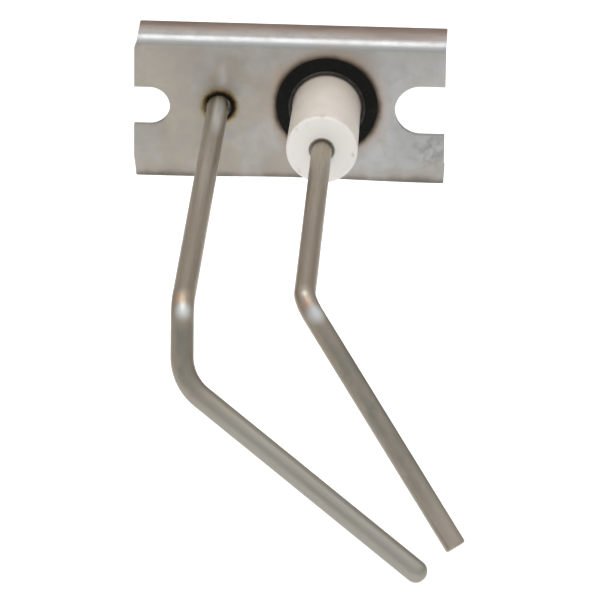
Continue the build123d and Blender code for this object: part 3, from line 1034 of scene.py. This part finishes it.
def weld_base(name, centre, inner_radius, outer_radius, height, segments, rings=14):
    """A smooth fillet weld in its bed round a joint, ready to be rippled."""
    width = outer_radius - inner_radius
    profile = [(inner_radius, WELD_PENETRATION)]
    for k in range(rings + 1):
        across = k / rings
        fall = (1 - across) ** BEAD_HOLLOW
        rise = WELD_TOE_HEIGHT + (height - WELD_TOE_HEIGHT) * fall
        profile.append((inner_radius + width * across, -rise))
    profile += [(outer_radius, 0), (outer_radius, WELD_PENETRATION)]
    mesh = bpy.data.meshes.new(name)
    bm = bmesh.new()
    loops = []
    for radius, y in profile:
        loop = []
        for k in range(segments):
            angle = 2 * pi * k / segments
            place = Vector((centre.x + radius * cos(angle), y, centre.z + radius * sin(angle)))
            loop.append(bm.verts.new(MM * place))
        loops.append(loop)
    for i, loop in enumerate(loops):
        after = loops[(i + 1) % len(loops)]
        for k in range(segments):
            m = (k + 1) % segments
            bm.faces.new((loop[k], loop[m], after[m], after[k]))
    bmesh.ops.recalc_face_normals(bm, faces=bm.faces)
    bm.to_mesh(mesh)
    bm.free()
    return mesh


def make_weld(tree, name, node, centre, radii, base, ripples, seed, finish):
    """A rippled weld that replaces its CAD node."""
    mesh = grow(tree, name, base, {
        "Centre": centre * MM, "Inner Radius": radii[0] * MM, "Outer Radius": radii[1] * MM,
        "Ripples": ripples, "Ripple Height": RIPPLE_HEIGHT * MM, "Crust": CRUST_HEIGHT * MM,
        "Edge Waver": EDGE_WAVER * MM, "Seed": seed, "Finish": finish,
    })
    outward(mesh)
    smooth(mesh, 60.0)
    place_piece(object_from(mesh, name), None, "weld_oxide", node)


def make_welds():
    tree = weld_tree()
    finish = weld_oxide()
    around_ferrule = weld_base(
        "ferrule_weld_base", FERRULE_CENTRE, FERRULE_RADIUS, FERRULE_WELD_RADIUS, FERRULE_WELD_HEIGHT,
        segments=400,
    )
    around_rod = weld_base(
        "earth_weld_base", EARTH_FOOT, EARTH_RADIUS - EARTH_WELD_INSET, EARTH_WELD_RADIUS,
        EARTH_WELD_HEIGHT, segments=200,
    )
    make_weld(
        tree, "ferrule_weld_bead", "ferrule_weld", FERRULE_CENTRE, (FERRULE_RADIUS, FERRULE_WELD_RADIUS),
        around_ferrule, ripples=46, seed=3.0, finish=finish,
    )
    make_weld(
        tree, "earth_weld_bead", "earth_rod_weld", EARTH_FOOT, (EARTH_RADIUS, EARTH_WELD_RADIUS),
        around_rod, ripples=17, seed=8.0, finish=finish,
    )


def bow_lower_fold(bm):
    """Lift the lower fold slightly between its ends."""
    fade_top = BRACKET_LOW.z + BOW_FADE
    for vertex in bm.verts:
        place = vertex.co / MM
        if place.z < fade_top:
            across = cos(pi * min(abs((place.x - BOW_MIDDLE) / BOW_REACH), 1.0)) / 2 + 0.5
            vertex.co.z += BOW_RISE * MM * across * (fade_top - place.z) / BOW_FADE


def make_bracket():
    """The CAD bracket's sheet, merged, with its sheared edges slightly broken."""
    mesh = bpy.data.objects["bracket"].data.copy()
    bm = bmesh.new()
    bm.from_mesh(mesh)
    bmesh.ops.remove_doubles(bm, verts=bm.verts, dist=0.001 * MM)
    bmesh.ops.dissolve_limit(bm, angle_limit=radians(0.5), verts=bm.verts, edges=bm.edges)
    sharp = [edge for edge in bm.edges if edge.calc_face_angle(0) > radians(40)]
    bmesh.ops.bevel(
        bm, geom=sharp, offset=EDGE_BREAK * MM, offset_type="OFFSET", segments=3, profile=0.5,
        affect="EDGES", clamp_overlap=True,
    )
    for k in range(1, BOW_CUTS):
        x = BRACKET_LOW.x + (BRACKET_HIGH.x - BRACKET_LOW.x) * k / BOW_CUTS
        everything = bm.verts[:] + bm.edges[:] + bm.faces[:]
        bmesh.ops.bisect_plane(bm, geom=everything, plane_co=(x * MM, 0, 0), plane_no=(1, 0, 0))
    bow_lower_fold(bm)
    bmesh.ops.triangulate(bm, faces=bm.faces)
    bm.to_mesh(mesh)
    bm.free()
    mesh.name = "bracket_channel"
    smooth(mesh, 30.0)
    place_piece(object_from(mesh, "bracket_channel"), sheet_steel(), "bracket_steel", "bracket")


# Studio


def make_floor():
    bpy.ops.mesh.primitive_plane_add(size=FLOOR_SIZE, location=(0, 0, 0))
    floor = bpy.context.object
    floor.name = "studio_floor"
    for vertex in floor.data.vertices:
        vertex.co.z = -FLOOR_DROP
    floor.data.materials.append(floor_paper())


def soft_light(name, place, aim, width, depth, watts, colour=(1, 1, 1), mirrored=True, seen=True):
    """A rectangular softbox, which shiny pieces need not reflect."""
    light = bpy.data.lights.new(name, "AREA")
    light.shape = "RECTANGLE"
    light.size = width
    light.size_y = depth
    light.energy = watts
    light.color = colour
    lamp = bpy.data.objects.new(name, light)
    lamp.location = place
    lamp.rotation_euler = (Vector(aim) - Vector(place)).to_track_quat("-Z", "Y").to_euler()
    lamp.visible_glossy = mirrored
    lamp.visible_camera = seen
    bpy.context.scene.collection.objects.link(lamp)


def studio_air():
    """Soft surrounding light: dim and warm low at the rear, brighter and cooler higher up."""
    world = bpy.data.worlds.new("studio_air")
    world.use_nodes = True
    tree = world.node_tree
    backdrop = tree.nodes["Background"]
    toward = tree.nodes.new("ShaderNodeTexCoord").outputs["Generated"]
    split = tree.nodes.new("ShaderNodeSeparateXYZ")
    tree.links.new(toward, split.inputs[0])

    def climb(socket, low, high):
        made = tree.nodes.new("ShaderNodeMapRange")
        made.interpolation_type = "SMOOTHSTEP"
        tree.links.new(socket, made.inputs["Value"])
        made.inputs["From Min"].default_value = low
        made.inputs["From Max"].default_value = high
        return made.outputs["Result"]

    def blend(share, first, second):
        made = tree.nodes.new("ShaderNodeMix")
        made.data_type = "RGBA"
        tree.links.new(share, made.inputs[0])
        for socket, value in ((made.inputs[6], first), (made.inputs[7], second)):
            if isinstance(value, tuple):
                socket.default_value = (*value, 1)
            else:
                tree.links.new(value, socket)
        return made.outputs[2]

    height = climb(split.outputs["Z"], 0.12, 0.75)
    rear = climb(split.outputs["Y"], -0.3, 0.8)
    front = blend(height, (0.58, 0.575, 0.565), (0.72, 0.73, 0.74))
    back = blend(height, (0.40, 0.35, 0.31), (0.78, 0.79, 0.80))
    tree.links.new(blend(rear, front, back), backdrop.inputs["Color"])
    backdrop.inputs["Strength"].default_value = AIR_STRENGTH
    bpy.context.scene.world = world


def make_studio():
    make_floor()
    studio_air()
    warm_white = (1.0, 0.985, 0.96)
    cool_white = (0.95, 0.975, 1.0)
    soft_light(
        "overhead", place=(-0.05, -0.05, 0.95), aim=(0, 0, 0),
        width=0.9, depth=0.75, watts=2.7, colour=warm_white,
    )
    soft_light(
        "floor_wash", place=(0, 0.62, 0.16), aim=(0, 0.64, -FLOOR_DROP),
        width=0.9, depth=0.5, watts=2.4, mirrored=False, seen=False,
    )
    soft_light(
        "front_fill", place=(-0.15, -1.1, 0.05), aim=(0, 0, 0),
        width=0.8, depth=0.6, watts=4.3, colour=cool_white, mirrored=False,
    )
    bpy.context.scene.view_settings.view_transform = "Standard"


def make_camera():
    camera = bpy.data.cameras.new("studio_camera")
    camera.lens = CAMERA_LENS
    camera.sensor_width = 36.0
    camera.clip_start = 0.01
    holder = bpy.data.objects.new("studio_camera", camera)
    holder.location = CAMERA_PLACE
    holder.rotation_euler = tuple(radians(turn) for turn in CAMERA_TURN)
    bpy.context.scene.collection.objects.link(holder)
    bpy.context.scene.camera = holder


make_camera()
make_studio()
make_bracket()
make_insulator()
make_ferrule()
make_cements()
make_terminal()
make_welds()
make_rods()
